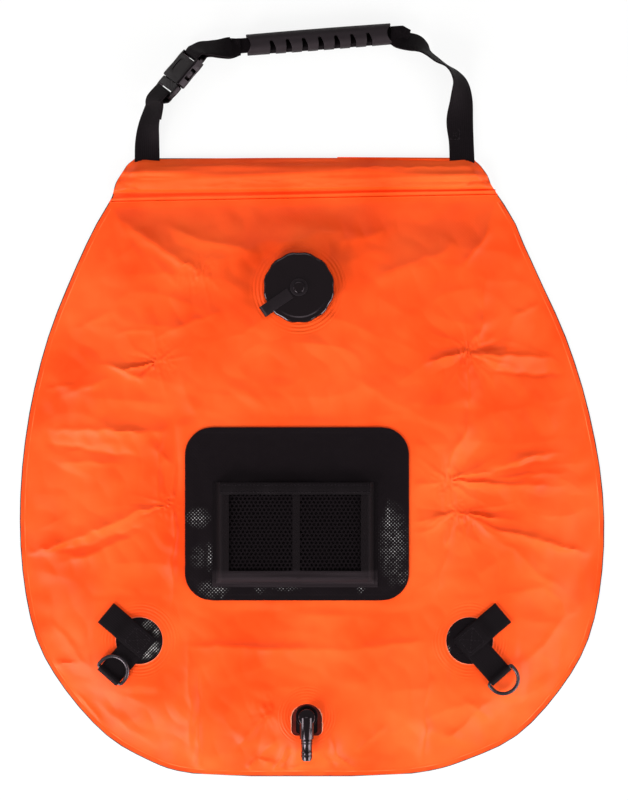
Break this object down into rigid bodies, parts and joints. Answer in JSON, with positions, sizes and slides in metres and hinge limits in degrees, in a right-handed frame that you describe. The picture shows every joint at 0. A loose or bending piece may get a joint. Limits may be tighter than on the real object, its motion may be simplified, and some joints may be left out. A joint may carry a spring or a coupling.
{
  "type": "camp shower bag",
  "caption": "Soft camp shower bag lying flat: welded film body, screw cap with tether, mesh pocket, elbow outlet, tabs with D-rings, and a webbing handle with a grip and a side-release buckle.",
  "frame": {"origin": "middle of the back sheet's underside, on the ground that the bag lies on", "axes": "+Z out of the front film, +Y from the bag towards its handle, +X to the right of the front"},
  "size_m": [0.4661, 0.6032, 0.0338],
  "materials": {
    "orange_film": "satin",
    "black_sheet": "matte",
    "black_scrim": "satin",
    "black_mesh": "matte",
    "black_plastic": "satin",
    "black_rubber": "matte",
    "black_webbing": "matte",
    "ring_plastic": "gloss",
    "rod_plastic": "matte"
  },
  "bodies": {
    "bag": {"back_panel": "black_sheet", "front_panel": "orange_film", "hem_sleeve": "orange_film", "stiffener_rod": "rod_plastic", "filler_neck": "black_plastic", "outlet_flange": "black_plastic", "pocket_backing": "black_scrim", "pocket_frame": "black_scrim", "pocket_net_left": "black_mesh", "pocket_net_right": "black_mesh", "pocket_lip": "black_webbing", "patch_left": "black_scrim", "patch_right": "black_scrim", "tab_strip_left": "black_webbing", "tab_strip_right": "black_webbing", "tab_loop_left": "black_webbing", "tab_loop_right": "black_webbing"},
    "tether": {"cap_tether": "black_rubber"},
    "cap": {"filler_cap": "black_plastic", "cap_gasket": "black_rubber"},
    "spout": {"outlet_spout": "black_plastic", "outlet_oring": "black_rubber"},
    "ring_left": {"d_ring_left": "ring_plastic"},
    "ring_right": {"d_ring_right": "ring_plastic"},
    "handle": {"strap_left": "black_webbing", "strap_right": "black_webbing", "handle_grip": "black_rubber", "buckle_female": "black_plastic"},
    "buckle": {"buckle_male": "black_plastic"}
  },
  "joints": [
    {"name": "cap_lift", "type": "slide", "parent": "bag", "child": "tether", "axis": [0, 0, 1], "range_m": [0, 0.006], "deforming": ["cap_tether"]},
    {"name": "cap_turn", "type": "hinge", "parent": "tether", "child": "cap", "pos_m": [-0.0044, 0.1427, 0.016], "axis": [0, 0, 1], "range_deg": [0, 540]},
    {"name": "spout_swivel", "type": "hinge", "parent": "bag", "child": "spout", "pos_m": [0.0018, -0.1996, 0.0202], "axis": [0, 0, 1], "range_deg": [-100, 100]},
    {"name": "ring_left_swing", "type": "hinge", "parent": "bag", "child": "ring_left", "pos_m": [-0.15585, -0.16616, 0.0175], "axis": [-0.749, 0.6626, 0], "range_deg": [-175.9, 0]},
    {"name": "ring_right_swing", "type": "hinge", "parent": "bag", "child": "ring_right", "pos_m": [0.15585, -0.16616, 0.0175], "axis": [-0.749, -0.6626, 0], "range_deg": [0, 175.9]},
    {"name": "handle_swing", "type": "hinge", "parent": "bag", "child": "handle", "pos_m": [0, 0.2485, 0.0029], "axis": [1, 0, 0], "range_deg": [-140, 140], "deforming": ["strap_left", "strap_right"]},
    {"name": "buckle_release", "type": "slide", "parent": "handle", "child": "buckle", "axis": [-0.6455, -0.7638, 0], "range_m": [0, 0.022], "deforming": ["strap_left", "buckle_male"]}
  ],
  "couplings": [
    {"joint": "cap_lift", "follows": "cap_turn", "m_per_rad": 0.000636}
  ]
}
